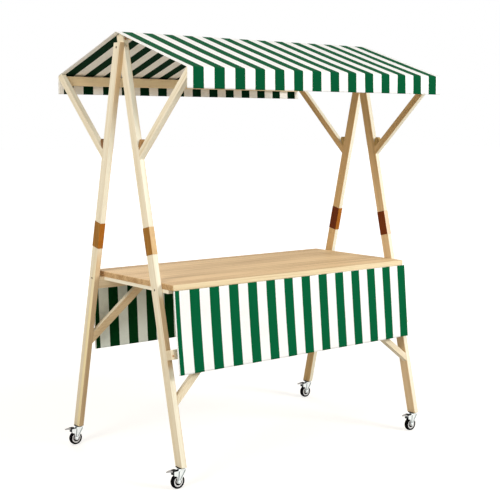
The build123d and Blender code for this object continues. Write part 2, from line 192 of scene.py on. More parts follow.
# A paler lipping along the counter's front edge, partly a painted highlight on that edge
LIPPING_AND_EDGE_HIGHLIGHT = ((0.87, 0.73, 0.48), (0.70, 0.53, 0.31))
PEG = ((0.42, 0.235, 0.095), (0.25, 0.125, 0.04))
PEG_LIGHT = ((0.58, 0.39, 0.15), (0.35, 0.22, 0.065))
# Painted shade on the rear pegs
PEG_PAINTED_SHADE = ((0.24, 0.115, 0.04), (0.15, 0.065, 0.018))
STAIN = ((0.36, 0.165, 0.030), (0.19, 0.075, 0.010))
# Painted light and shade on the bands' stain: lighter on faces toward the customer, still lighter on the
# front legs' front faces and lightest on the front right leg's, and darker on the right frame
STAIN_PAINTED_LIGHT = ((0.76, 0.53, 0.28), (0.56, 0.36, 0.17))
STAIN_WARM_PAINTED_LIGHT = ((0.46, 0.165, 0.022), (0.25, 0.07, 0.006))
STAIN_RED_PAINTED_SHADE = ((0.20, 0.042, 0.008), (0.105, 0.020, 0.003))
STAIN_BRIGHT_PAINTED_LIGHT = ((0.90, 0.68, 0.50), (0.80, 0.57, 0.39))
KNOT = (0.27, 0.125, 0.05)
# A reddish knot tone, also used to paint the shade on the front left leg's top
RED_KNOT_AND_SHADE = (0.48, 0.25, 0.12)
RAIL_TONES = {"rear_apron": APRON, "front_rail": PALE, "ridge_pole": BRACE, "eave_rail_front": EAVE,
              "eave_rail_rear": EAVE}

# Knots at the lap of the left frame, which also paint the shade under the canopy on the front left leg's top,
# and at the front rail's left end
LAP_KNOT_AND_SHADE = 0.009
LAP_KNOT_AND_SHADE_IN = 0.013
LAP_KNOT_AND_SHADE_Y = -0.020
LAP_KNOTS_AND_SHADE_Z = (2.004, 2.040)
RAIL_KNOT = 0.008
RAIL_KNOT_IN = 0.012

# Heights on the timbers: spans of painted shade on the left legs' front faces (from, to, softness), honey
# toward the rear left leg's foot, and the deeper painted shade that grows upward on the right frame
LEG_SHADE_SPANS = {"front": [(0.56, 0.84, 0.04)], "rear": [(0.0, 0.95, 0.15), (1.85, 2.1, 0.3)]}
HONEY_RISE = (1.1, 0.7)
HONEY_REACH = 0.008
DEEP_SHADE_RISE = (0.75, 1.7)

# Counter board
COUNTER_STAVES = 6
COUNTER_BROAD = 24.0
LIPPING_AND_HIGHLIGHT_DEPTH = 0.006

# First seed of each kind of timber
LEG_SEED = 1
ARM_SEED = 21
BRACE_SEED = 41
RAIL_SEED = 65
LEDGER_SEED = 90
PEG_SEED = 97
BAND_SEED = 98
COUNTER_SEED = 99

# Rings: spacing, distance of the pith from the board, and how narrow and strong the late wood is
RING_SPACING = 0.0042
RING_PITH = 0.085
RING_TAPER = 0.012
RING_POWER = 2.6
RING_WEIGHT = 0.30

# Noises: cycles a metre across and along the grain, and their weights in the late wood's share
SWAY_CYCLES = (9.0, 9.0, 0.9)
SWAY_REACH = 0.030
SWAY_TURN = 2.5
FIBRE_CYCLES = (750.0, 750.0, 14.0)
FIBRE_WEIGHT = 0.45
STREAK_CYCLES = (150.0, 150.0, 2.6)
STREAK_WEIGHT = 1.2
BROAD_CYCLES = 42.0
BROAD_LENGTH = 38
BROAD_WEIGHT = 1.30
BROAD_MIDDLE = 0.36

# End grain is darker: a face's turn toward the grain, and the late wood's share that it adds
END_GRAIN_RAMP = (0.6, 0.95, 0.0, 0.4)

# The timber is darker below LOW_Z than above HIGH_Z
LOW_Z = 0.45
HIGH_Z = 1.05
LOW_TONE = 0.30

# Relief and gloss: weights of fibres and rings, height, strength, and how far the gloss varies
FIBRE_RELIEF = 0.6
RING_RELIEF = 0.4
WOOD_RELIEF = 0.00025
WOOD_BUMP = 0.6
WOOD_GLOSS_VARIES = 0.16

# A knot's core and its halo of late wood, as shares of its size, and the halo's strength
KNOT_CORE = (0.55, 1.0)
KNOT_HALO = (0.9, 3.2)
KNOT_HALO_SHARE = 0.6

# Glued strips: how far their tone and their figure differ, and the seam between two
STAVE_TONE = 0.30
STAVE_SHIFT = (0.35, 0.35, 3.0)
SEAM_HALF = 0.0014
SEAM_TONE = 0.6


def staves_of(tree, place, width):
    """Tone and shift of the glued strip at a place, and the share of the seams."""
    strip = math_node(tree, "DIVIDE", along_axis(tree, place, "Y"), width)
    number = math_node(tree, "FLOOR", strip)
    pick = add(tree, "ShaderNodeTexWhiteNoise", {"noise_dimensions": "1D"}, W=number)
    tone = centred(tree, pick.outputs["Value"], STAVE_TONE)
    shift = vector_node(tree, "MULTIPLY", pick.outputs["Color"], STAVE_SHIFT)
    within = math_node(tree, "ABSOLUTE", centred(tree, math_node(tree, "SUBTRACT", strip, number), 2.0))
    return tone, shift, ramp(tree, within, 1 - SEAM_HALF / width, 1.0)


def rings_of(tree, board, sway, turn, pith):
    """Share of late wood in the growth rings round a pith."""
    bent = vector_node(tree, "ADD", board, vector_node(tree, "MULTIPLY", sway, (SWAY_REACH, SWAY_REACH, 0.0)))
    flat = vector_node(tree, "MULTIPLY", vector_node(tree, "SUBTRACT", bent, pith), (1.0, 1.0, RING_TAPER))
    turns = math_node(tree, "MULTIPLY", vector_node(tree, "LENGTH", flat), 2 * math.pi / RING_SPACING)
    phase = math_node(tree, "ADD", turns, math_node(tree, "MULTIPLY", turn, SWAY_TURN))
    wave = math_node(tree, "MULTIPLY", math_node(tree, "ADD", math_node(tree, "SINE", phase), 1.0), 0.5)
    return math_node(tree, "POWER", wave, RING_POWER)


def with_knots(tree, colour, late, place, sway, knots):
    """A colour with knots on it, each in a halo of late wood."""
    for point, size, tint in knots:
        away = vector_node(tree, "SUBTRACT", place, tuple(point))
        away = vector_node(tree, "ADD", away, vector_node(tree, "MULTIPLY", sway, (size, size, size)))
        far = vector_node(tree, "LENGTH", away)
        halo = [size * share for share in KNOT_HALO]
        core = [size * share for share in KNOT_CORE]
        colour = mix_rgb(tree, ramp(tree, far, *halo, KNOT_HALO_SHARE, 0.0), colour, late)
        colour = mix_rgb(tree, ramp(tree, far, *core, 1.0, 0.0), colour, tint)
    return colour


def wood(name, centre, grain, seed, tones=PALE, rough=0.58, gloss=0.18, staves=0, broad=BROAD_CYCLES,
         knots=(), others=()):
    """Wood with its grain along a direction. staves is the width of glued strips across Y, 0 for one board,
    and broad is how many broad streaks cross a metre. knots holds (place, size, colour), and others holds
    (tones, share), where share(tree, place, normal) is 1 on other tones: other wood, painted light and
    painted shade."""
    made, tree, shader = material(name, rough)
    shader.inputs["Specular IOR Level"].default_value = gloss
    draw = random.Random(seed)
    turn = Vector(grain).to_track_quat("Z", "Y").to_euler()
    coords = add(tree, "ShaderNodeTexCoord")
    place, normal = coords.outputs["Object"], coords.outputs["Normal"]
    board = add(tree, "ShaderNodeMapping", {"vector_type": "TEXTURE"}, Vector=place,
                Location=tuple(centre), Rotation=tuple(turn)).outputs[0]
    moved = vector_node(tree, "ADD", board, tuple(draw.uniform(-9, 9) for _ in range(3)))
    angle = draw.uniform(0, 2 * math.pi)
    pith = (RING_PITH * math.cos(angle), RING_PITH * math.sin(angle), 0.0)
    stave_tone, seam = 0.0, None
    if staves:
        stave_tone, shift, seam = staves_of(tree, place, staves)
        board = vector_node(tree, "ADD", board, shift)
        moved = vector_node(tree, "ADD", moved, shift)
    slow = noise_node(tree, moved, SWAY_CYCLES, 3.0)
    sway = vector_node(tree, "SUBTRACT", slow.outputs["Color"], (0.5, 0.5, 0.5))
    ring = rings_of(tree, board, sway, slow.outputs["Fac"], pith)
    fibre = noise_node(tree, moved, FIBRE_CYCLES, 3.0, 0.6).outputs["Fac"]
    tone_band = noise_node(tree, moved, STREAK_CYCLES).outputs["Fac"]
    tone = noise_node(tree, moved, (broad, broad, broad / BROAD_LENGTH)).outputs["Fac"]

    share = math_node(tree, "MULTIPLY", ring, RING_WEIGHT)
    share = math_node(tree, "ADD", share, centred(tree, fibre, FIBRE_WEIGHT))
    share = math_node(tree, "ADD", share, centred(tree, tone_band, STREAK_WEIGHT))
    share = math_node(tree, "ADD", share, centred(tree, tone, BROAD_WEIGHT, BROAD_MIDDLE))
    clamped = {"operation": "ADD", "use_clamp": True}
    share = add(tree, "ShaderNodeMath", clamped, i0=share, i1=stave_tone).outputs[0]
    along = vector_node(tree, "DOT_PRODUCT", normal, tuple(Vector(grain).normalized()))
    share = math_node(tree, "ADD", share, ramp(tree, math_node(tree, "ABSOLUTE", along), *END_GRAIN_RAMP))
    height = along_axis(tree, place, "Z")
    share = math_node(tree, "ADD", share, ramp(tree, height, LOW_Z, HIGH_Z, LOW_TONE, 0.0))
    share = math_node(tree, "MAXIMUM", math_node(tree, "MINIMUM", share, 1.0), 0.0)

    colour = mix_rgb(tree, share, *tones)
    for pair, where in others:
        colour = mix_rgb(tree, where(tree, place, normal), colour, mix_rgb(tree, share, *pair))
    colour = with_knots(tree, colour, tones[1], place, sway, knots)
    relief = math_node(tree, "ADD", math_node(tree, "MULTIPLY", fibre, FIBRE_RELIEF),
                       math_node(tree, "MULTIPLY", ring, RING_RELIEF))
    if seam:
        colour = mix_rgb(tree, math_node(tree, "MULTIPLY", seam, SEAM_TONE), colour, KNOT)
        relief = math_node(tree, "SUBTRACT", relief, seam)
    tree.links.new(colour, shader.inputs["Base Color"])
    uneven = math_node(tree, "ADD", centred(tree, fibre, WOOD_GLOSS_VARIES), rough)
    tree.links.new(uneven, shader.inputs["Roughness"])
    bump(tree, shader, relief, WOOD_RELIEF, WOOD_BUMP)
    return made


# Cloth: a plain weave whose stripes follow the cloth itself; its inside skins carry painted shade, darker
# greens and tinted whites
GREEN_CANOPY = (0.0014, 0.090, 0.032)
GREEN_SKIRT = (0.0014, 0.112, 0.040)
WHITE_OUT = (0.925, 0.93, 0.93)
GREEN_IN_PAINTED_SHADE = (0.0006, 0.022, 0.008)
WHITE_IN = (0.935, 0.935, 0.905)
WHITE_SHADED = (0.88, 0.955, 0.895)
GREEN_SHADED = (0.0012, 0.042, 0.009)
CLOTH_ROUGH = 0.82
STRIPE_EDGE = 0.0004

# Weave: cycles a metre across a thread, along it and of the slow uneven tone, with their weights
THREADS = 1100.0
SLUBS = 90.0
CLOUDS = 7.0
WEAVE_TONE = 0.35
CLOUD_TONE = 0.12
WEAVE_RELIEF = 0.0003
WEAVE_BUMP = 0.7


def cloth(name, green, white, start, pitch=STRIPE_PITCH, selvedge=None):
    """Striped cloth. Its UV map gives metres across and along; a green stripe begins at start, and beyond
    selvedge the cloth is white."""
    made, tree, shader = material(name, CLOTH_ROUGH)
    uv = add(tree, "ShaderNodeUVMap", {"uv_map": "flat"}).outputs[0]
    across = along_axis(tree, uv, "X")
    turns = math_node(tree, "DIVIDE", math_node(tree, "SUBTRACT", across, start), pitch)
    within = math_node(tree, "SUBTRACT", turns, math_node(tree, "FLOOR", turns))
    soft = STRIPE_EDGE / pitch
    rise = ramp(tree, within, 0.0, soft)
    fall = ramp(tree, within, STRIPE_SHARE - soft, STRIPE_SHARE, 1.0, 0.0)
    stripe = math_node(tree, "MULTIPLY", rise, fall)
    if selvedge:
        stripe = math_node(tree, "MULTIPLY", stripe, math_node(tree, "LESS_THAN", across, selvedge))
    weft = noise_node(tree, uv, (THREADS, SLUBS, 1.0)).outputs["Fac"]
    warp = noise_node(tree, uv, (SLUBS, THREADS, 1.0)).outputs["Fac"]
    cloud = noise_node(tree, uv, (CLOUDS, CLOUDS, 1.0), 4.0, 0.55).outputs["Fac"]
    weave = math_node(tree, "MULTIPLY", math_node(tree, "ADD", weft, warp), 0.5)
    shade = math_node(tree, "ADD", centred(tree, weave, WEAVE_TONE), centred(tree, cloud, CLOUD_TONE))
    tree.links.new(varied(tree, mix_rgb(tree, stripe, white, green), shade), shader.inputs["Base Color"])
    shader.inputs["Sheen Weight"].default_value = 0.01
    shader.inputs["Sheen Roughness"].default_value = 0.5
    shader.inputs["Specular IOR Level"].default_value = 0.02
    bump(tree, shader, weave, WEAVE_RELIEF, WEAVE_BUMP)
    return made


def plain(name, colour, roughness, metallic=0.0, grain=0.10, scale=180.0, relief=0.0001, gloss=0.5):
    """Metal, plastic or rubber with a fine uneven tone and gloss."""
    made, tree, shader = material(name, roughness, metallic)
    shader.inputs["Specular IOR Level"].default_value = gloss
    place = add(tree, "ShaderNodeTexCoord").outputs["Object"]
    noisy = add(tree, "ShaderNodeTexNoise", Vector=place, Scale=scale, Detail=4.0, Roughness=0.6)
    fine = noisy.outputs["Fac"]
    tree.links.new(varied(tree, (*colour, 1.0), centred(tree, fine, grain * 2)), shader.inputs["Base Color"])
    tree.links.new(math_node(tree, "ADD", centred(tree, fine, 0.25), roughness), shader.inputs["Roughness"])
    bump(tree, shader, fine, relief, 0.5)
    return made


# Castors: colours, with painted shade on the hub's web and the fork's ribs, and where they change on the hub,
# the fork and the pedal
PLATE_BLACK = (0.010, 0.010, 0.010)
RUBBER = (0.0035, 0.0035, 0.004)
HUB_LIGHT = (0.78, 0.78, 0.79)
HUB_WEB_PAINTED_SHADE = (0.006, 0.006, 0.007)
HUB_BOSS_R = 0.0095
HUB_RING_R = 0.0183
HUB_SOFT = 0.0006
FORK_ZINC = (0.80, 0.84, 0.84)
FORK_RIB_PAINTED_SHADE = (0.13, 0.15, 0.15)
FORK_ROUGH = 0.34
FORK_NUT = 0.004
FORK_RIB = (0.0001, 0.0005)
FORK_EYE_R = 0.008
FORK_CROWN = 0.052
PEDAL_GREY = (0.42, 0.42, 0.43)
PEDAL_BLACK = (0.006, 0.006, 0.006)
PEDAL_TIP = 0.028


def hub_material(name, centre):
    """Hub with a pale ring and boss, and painted shade on the recessed web between them, round an axle along
    Y.
    """
    made, tree, shader = material(name, 0.5)
    shader.inputs["Specular IOR Level"].default_value = 0.12
    place = add(tree, "ShaderNodeTexCoord").outputs["Object"]
    away = vector_node(tree, "MULTIPLY", vector_node(tree, "SUBTRACT", place, tuple(centre)), (1.0, 0.0, 1.0))
    radius = vector_node(tree, "LENGTH", away)
    # Painted shade on the web
    web = math_node(tree, "MULTIPLY", ramp(tree, radius, HUB_BOSS_R, HUB_BOSS_R + HUB_SOFT),
                    ramp(tree, radius, HUB_RING_R - HUB_SOFT, HUB_RING_R, 1.0, 0.0))
    fine = add(tree, "ShaderNodeTexNoise", Vector=place, Scale=260.0, Detail=3.0).outputs["Fac"]
    tree.links.new(mix_rgb(tree, web, HUB_LIGHT, HUB_WEB_PAINTED_SHADE), shader.inputs["Base Color"])
    bump(tree, shader, fine, 0.0001, 0.4)
    return made


def dress(node, made):
    """Gives a CAD node one material."""
    data = NODES[node].data
    data.materials.clear()
    data.materials.append(made)


# Shares of other tones on a timber, other wood and painted light and shade: each is a function of (tree,
# place, normal) that gives 0 to 1
# How deep the painted shade on a timber's inner face reaches
INNER_SHADE_DEPTH = 0.004


def frontward(tree, place, normal):
    """Faces toward the customer."""
    return ramp(tree, along_axis(tree, normal, "Y"), -0.5, -0.8)


def upward(tree, place, normal):
    """Faces that look upward."""
    return ramp(tree, along_axis(tree, normal, "Z"), 0.3, 0.6)


def front_half(tree, place, normal):
    """The half toward the customer."""
    return math_node(tree, "LESS_THAN", along_axis(tree, place, "Y"), 0.0)


def rear_half(tree, place, normal):
    """The half away from the customer."""
    return math_node(tree, "GREATER_THAN", along_axis(tree, place, "Y"), 0.0)


def right_half(tree, place, normal):
    """The half at the customer's right."""
    return math_node(tree, "GREATER_THAN", along_axis(tree, place, "X"), 0.0)


def both(*wheres):
    """Where all of some shares are."""
    def share(tree, place, normal):
        found = wheres[0](tree, place, normal)
        for where in wheres[1:]:
            found = math_node(tree, "MULTIPLY", found, where(tree, place, normal))
        return found
    return share


def near_face(axis, face, side, depth=INNER_SHADE_DEPTH):
    """Next to a face of a board."""
    def share(tree, place, normal):
        inward = math_node(tree, "SUBTRACT", along_axis(tree, place, axis), face)
        return ramp(tree, math_node(tree, "MULTIPLY", inward, -side), depth * 0.4, depth, 1.0, 0.0)
    return share


def by_height(start_z, full_z):
    """Growing from one height to another."""
    def share(tree, place, normal):
        return ramp(tree, along_axis(tree, place, "Z"), start_z, full_z)
    return share


def front_between(low_z, high_z, soft):
    """Faces toward the customer between two heights."""
    return both(by_height(low_z - soft, low_z), by_height(high_z + soft, high_z), frontward)


def beside(centre, direction, reach):
    """Growing from a centre to a reach along a direction."""
    def share(tree, place, normal):
        away = vector_node(tree, "SUBTRACT", place, tuple(centre))
        return ramp(tree, vector_node(tree, "DOT_PRODUCT", away, direction), 0.0, reach)
    return share


def inner_painted_shade(depth, end, face):
    """Painted shade on a timber's inner face, deeper on the right frame: all along its rear timbers and
    growing upward on its front ones.
    """
    where = near_face("X", face, -SIDE[end])
    if end == "left":
        return [(PAINTED_SHADE_WOOD, where)]
    deep = where if depth == "rear" else both(where, by_height(*DEEP_SHADE_RISE))
    return [(PAINTED_SHADE_WOOD, where), (PAINTED_DEEP_SHADE_WOOD, deep)]


def leg_woods(depth, end, centre, face, lean):
    """Woods of a leg: painted light on its front faces, painted shade on its inner face and on spans of the
    left legs' front faces, and honey near the rear left leg's foot.
    """
    woods = [(PAINTED_LIGHT_WOOD, frontward)] + inner_painted_shade(depth, end, face)
    if end == "left":
        woods += [(PAINTED_SHADE_WOOD, front_between(*tone_band)) for tone_band in LEG_SHADE_SPANS[depth]]
    if (depth, end) == ("rear", "left"):
        ahead = (0.0, -math.cos(lean), math.sin(lean))
        woods.insert(0, (HONEY, both(beside(centre, ahead, HONEY_REACH), by_height(*HONEY_RISE))))
    return woods


def dress_end_frames():
    """A board of its own for every leg, canopy arm and knee brace, with its grain along it."""
    for number, (depth, end) in enumerate(CORNERS):
        corner = f"{depth}_{end}"
        low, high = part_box(f"leg_{corner}")
        centre = (low + high) / 2
        lean = math.radians(LEAN) * -SIDE[depth]
        face = high.x if end == "left" else low.x
        knots = []
        # Two knots at the front left leg's lap also paint the canopy's shade on its front face
        if corner == "front_left":
            knots = [((face - LAP_KNOT_AND_SHADE_IN, LAP_KNOT_AND_SHADE_Y, z), LAP_KNOT_AND_SHADE, RED_KNOT_AND_SHADE) for z in LAP_KNOTS_AND_SHADE_Z]
        # The leg's other tones are painted light and painted shade
        leg = wood(f"pine_leg_{corner}", centre, (0.0, math.sin(lean), math.cos(lean)), LEG_SEED + number,
                   knots=knots, others=leg_woods(depth, end, centre, face, lean))
        dress(f"leg_{corner}", leg)

        low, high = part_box(f"canopy_arm_{corner}")
        rise = (0.0, SIDE[depth] * (high.y - low.y), high.z - low.z)
        face = high.x if end == "left" else low.x
        # Painted light on the arm's faces toward the customer and painted shade on its inner face
        arm = wood(f"pine_arm_{corner}", (low + high) / 2, rise, ARM_SEED + number,
                   others=[(PAINTED_LIGHT_WOOD, frontward)] + inner_painted_shade(depth, end, face))
        dress(f"canopy_arm_{corner}", arm)

        low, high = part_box(f"knee_brace_{corner}")
        rise = (-SIDE[end] * (high.x - low.x), 0.0, high.z - low.z)
        # Paler wood on the brace's upper faces is painted light
        brace = wood(f"pine_brace_{corner}", (low + high) / 2, rise, BRACE_SEED + number,
                     BRACE if depth == "rear" else PALE, others=[(LEDGER_AND_PAINTED_LIGHT, upward)])
        dress(f"knee_brace_{corner}", brace)


def dress_rails():
    """A board of its own for every rail and ledger, with its grain along it."""
    for number, (node, tones) in enumerate(RAIL_TONES.items()):
        low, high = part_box(node)
        knots = []
        if node == "front_rail":
            knots = [((low.x + RAIL_KNOT_IN, low.y, (low.z + high.z) / 2), RAIL_KNOT, RED_KNOT_AND_SHADE)]
        dress(node, wood(f"pine_{node}", (low + high) / 2, (1, 0, 0), RAIL_SEED + number, tones, knots=knots))
    for number, end in enumerate(("left", "right")):
        low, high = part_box(f"end_ledger_{end}")
        ledger = wood(f"pine_ledger_{end}", (low + high) / 2, (0, 1, 0), LEDGER_SEED + number, LEDGER_AND_PAINTED_LIGHT)
        dress(f"end_ledger_{end}", ledger)


def dress_fittings():
    """Darker pegs with painted shade on their rear half and a lighter right half, stain with painted light
    and shade on the leg bands, and glued strips with a lipping on the counter whose paler front edge is
    partly a painted highlight.
    """
    # Painted shade darkens the rear half of the pegs; the right half is lighter
    dress("arm_pegs", wood("peg_wood", (0, 0, 1.56), (0, 0.25, 1), PEG_SEED, PEG,
                           others=[(PEG_PAINTED_SHADE, rear_half), (PEG_LIGHT, right_half)]))
    toward_customer = both(front_half, frontward)
    # Painted light and shade on the bands by face and frame
    band_light_and_shade = [(STAIN_RED_PAINTED_SHADE, right_half), (STAIN_WARM_PAINTED_LIGHT, frontward), (STAIN_PAINTED_LIGHT, toward_customer),
              (STAIN_BRIGHT_PAINTED_LIGHT, both(right_half, toward_customer))]
    dress("leg_bands", wood("stained_bands_with_painted_light", (0, 0, 1.1), (0, 0, 1), BAND_SEED, STAIN, rough=0.5, gloss=0.06,
                            others=band_light_and_shade))
    # The counter's paler front edge is partly a painted highlight
    low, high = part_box("counter_top")
    board = wood("counter_board", (low + high) / 2, (1, 0, 0), COUNTER_SEED, COUNTER, rough=0.55, gloss=0.08,
                 staves=(high.y - low.y) / COUNTER_STAVES, broad=COUNTER_BROAD,
                 others=[(LIPPING_AND_EDGE_HIGHLIGHT, near_face("Y", low.y, -1, LIPPING_AND_HIGHLIGHT_DEPTH))])
    dress("counter_top", board)


def fork_material(name, axle, half):
    """Bright zinc on the fork, with painted shade on the ribs pressed in its cheeks. half is from the fork's
    middle to the end of an axle nut."""
    made, tree, shader = material(name, FORK_ROUGH, 1.0)
    place = add(tree, "ShaderNodeTexCoord").outputs["Object"]
    fine = noise_node(tree, place, (300.0, 300.0, 300.0), 4.0, 0.6).outputs["Fac"]
    away = vector_node(tree, "SUBTRACT", place, tuple(axle))
    out = math_node(tree, "ABSOLUTE", along_axis(tree, away, "Y"))
    rise = math_node(tree, "SUBTRACT", out, half - FORK_NUT)
    height = along_axis(tree, away, "Z")
    ribbed = math_node(tree, "MULTIPLY", ramp(tree, height, FORK_EYE_R - 0.0005, FORK_EYE_R),
                       ramp(tree, height, FORK_CROWN, FORK_CROWN + 0.0003, 1.0, 0.0))
    # Painted shade on the ribs
    rib = math_node(tree, "MULTIPLY", ramp(tree, rise, *FORK_RIB), ribbed)
    colour = varied(tree, mix_rgb(tree, rib, FORK_ZINC, FORK_RIB_PAINTED_SHADE), centred(tree, fine, 0.2))
    tree.links.new(colour, shader.inputs["Base Color"])
    tree.links.new(math_node(tree, "ADD", centred(tree, fine, 0.2), FORK_ROUGH), shader.inputs["Roughness"])
    bump(tree, shader, fine, 0.00005, 0.5)
    return made


def pedal_material(name, tip_x):
    """Black pedal with a grey tip."""
    made, tree, shader = material(name, 0.6)
    shader.inputs["Specular IOR Level"].default_value = 0.06
    place = add(tree, "ShaderNodeTexCoord").outputs["Object"]
    reach = math_node(tree, "SUBTRACT", along_axis(tree, place, "X"), tip_x)
    fine = noise_node(tree, place, (400.0, 400.0, 400.0), 3.0).outputs["Fac"]
    colour = mix_rgb(tree, ramp(tree, reach, PEDAL_TIP - 0.001, PEDAL_TIP), PEDAL_GREY, PEDAL_BLACK)
    tree.links.new(varied(tree, colour, centred(tree, fine, 0.25)), shader.inputs["Base Color"])
    bump(tree, shader, fine, 0.0001, 0.5)
    return made


def dress_castors():
    """Steel, rubber and plastic on the castors."""
    dress("castor_plates", plain("black_plate", PLATE_BLACK, 0.6, grain=0.2, gloss=0.04))
    rubber = plain("tyre_rubber", RUBBER, 0.85, grain=0.3, scale=500.0, relief=0.0002, gloss=0.02)
    for depth, end in CORNERS:
        corner = f"{depth}_{end}"
        low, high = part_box(f"tyre_{corner}")
        axle = (low + high) / 2
        dress(f"tyre_{corner}", rubber)
        dress(f"wheel_hub_{corner}", hub_material(f"hub_{corner}", axle))
        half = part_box(f"castor_fork_{corner}")[1].y - axle.y
        dress(f"castor_fork_{corner}", fork_material(f"zinc_{corner}", axle, half))
        tip_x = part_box(f"brake_pedal_{corner}")[0].x
        dress(f"brake_pedal_{corner}", pedal_material(f"pedal_{corner}", tip_x))


def mesh_object(name, bm, materials, body=STALL):
    """A piece from a bmesh, with its materials and the body that it rides on."""
    data = bpy.data.meshes.new(name)
    bm.to_mesh(data)
    bm.free()
    for made in materials:
        data.materials.append(made)
    piece = bpy.data.objects.new(name, data)
    bpy.context.scene.collection.objects.link(piece)
    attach(piece, body)
    return piece


def running_lengths(points):
    """Distance along a line of points to each of them."""
    lengths = [0.0]
    for a, b in zip(points, points[1:]):
        lengths.append(lengths[-1] + math.dist(a, b))
    return lengths


def grid_normal(grid, i, j):
    """Unit normal of a grid of points at one of them."""
    before, after = grid[max(j - 1, 0)][i], grid[min(j + 1, len(grid) - 1)][i]
    left, right = grid[j][max(i - 1, 0)], grid[j][min(i + 1, len(grid[j]) - 1)]
    return (right - left).cross(after - before).normalized()


def cloth_mesh(columns, rows, point, thickness):
    """Two skins and a rim. point(i, j) gives (place, outward normal, flat place) on the outer skin."""
    bm = bmesh.new()
    layer = bm.loops.layers.uv.new("flat")
    outer, inner, flats = [], [], []
    for j in range(rows + 1):
        rows_out, rows_in, row_flat = [], [], []
        for i in range(columns + 1):
            place, normal, flat = point(i, j)
            rows_out.append(bm.verts.new(place))
            rows_in.append(bm.verts.new(place - normal * thickness(i, j)))
            row_flat.append(flat)
        outer.append(rows_out)
        inner.append(rows_in)
        flats.append(row_flat)

    def quad(corners, places, index):
        face = bm.faces.new(corners)
        face.material_index = index
        face.smooth = True
        for loop, flat in zip(face.loops, places):
            loop[layer].uv = flat

    for j in range(rows):
        for i in range(columns):
            square = [(j, i), (j, i + 1), (j + 1, i + 1), (j + 1, i)]
            quad([outer[a][b] for a, b in square], [flats[a][b] for a, b in square], 0)
            back = square[::-1]
            quad([inner[a][b] for a, b in back], [flats[a][b] for a, b in back], 1)
    edge = [(0, i) for i in range(columns)] + [(j, columns) for j in range(rows)]
    edge += [(rows, i) for i in range(columns, 0, -1)] + [(j, 0) for j in range(rows, 0, -1)]
    for n, a in enumerate(edge):
        b = edge[(n + 1) % len(edge)]
        corners = [outer[a[0]][a[1]], inner[a[0]][a[1]], inner[b[0]][b[1]], outer[b[0]][b[1]]]
        quad(corners, [flats[a[0]][a[1]]] * 2 + [flats[b[0]][b[1]]] * 2, 0)
    bmesh.ops.recalc_face_normals(bm, faces=bm.faces)
    return bm


def stitch(bm, start, end, normal, flat):
    """One stitch: a short thread that dips into the cloth at its ends and has the cloth's colour there."""
    layer = bm.loops.layers.uv.verify()
    along = (end - start).normalized()
    side = normal.cross(along).normalized()
    count = STITCH_SIDES
    rings = []
    for share, lift, size in STITCH_FORM:
        centre = start.lerp(end, share) + normal * (STITCH_R * lift)
        ring = []
        for k in range(count):
            a = 2 * math.pi * k / count
            ring.append(bm.verts.new(centre + (side * math.cos(a) + normal * math.sin(a)) * STITCH_R * size))
        rings.append(ring)
    sides = [(a[k], a[(k + 1) % count], b[(k + 1) % count], b[k])
             for a, b in zip(rings, rings[1:]) for k in range(count)]
    for corners in sides + [rings[0][::-1], rings[-1]]:
        face = bm.faces.new(corners)
        face.smooth = True
        for loop in face.loops:
            loop[layer].uv = flat


def stitch_line(bm, picked):
    """Stitches at an even pitch along a line of (place, normal, flat place) on a cloth."""
    lengths = running_lengths([place for place, normal, flat in picked])

    def at(distance):
        k = 1
        while k < len(lengths) - 1 and lengths[k] < distance:
            k += 1
        share = (distance - lengths[k - 1]) / (lengths[k] - lengths[k - 1])
        before, after = picked[k - 1], picked[k]
        flat = [p + (q - p) * share for p, q in zip(before[2], after[2])]
        return before[0].lerp(after[0], share), before[1].lerp(after[1], share).normalized(), flat

    here = STITCH_GAP
    while here + STITCH_LONG < lengths[-1]:
        start, normal, flat = at(here)
        end = at(here + STITCH_LONG)[0]
        stitch(bm, start, end, normal, flat)
        here += STITCH_LONG + STITCH_GAP


def stitching(name, point, columns, rows, sewn_rows, inset, skin):
    """Threads along some rows of a cloth's grid, and along its side hems a few columns in."""
    threads = bmesh.new()
    threads.loops.layers.uv.new("flat")
    for j in sewn_rows:
        stitch_line(threads, [point(i, j) for i in range(columns + 1)])
    for i in (inset, columns - inset):
        stitch_line(threads, [point(i, j) for j in range(rows + 1)])
    return mesh_object(name, threads, [skin])


# Canopy: the mesh's step, the rounds at ridge and eaves, the sag on the slopes and the folds in the valances
CANOPY_STEP = 0.009
RIDGE_R = 0.012
RIDGE_STEPS = 3
EAVE_R = 0.007
EAVE_STEPS = 4
SLOPE_SAG = 0.0015
SAG_AT_ENDS = 0.55
SLOPE_UNEVEN = 0.0016
FRONT_INSET = 0.009
VALANCE_OUT = 0.0015
VALANCE_WAVE = 0.0034
LONG_FOLDS = 5.5
SHORT_FOLDS = 16.0
SHORT_WEIGHT = 0.45


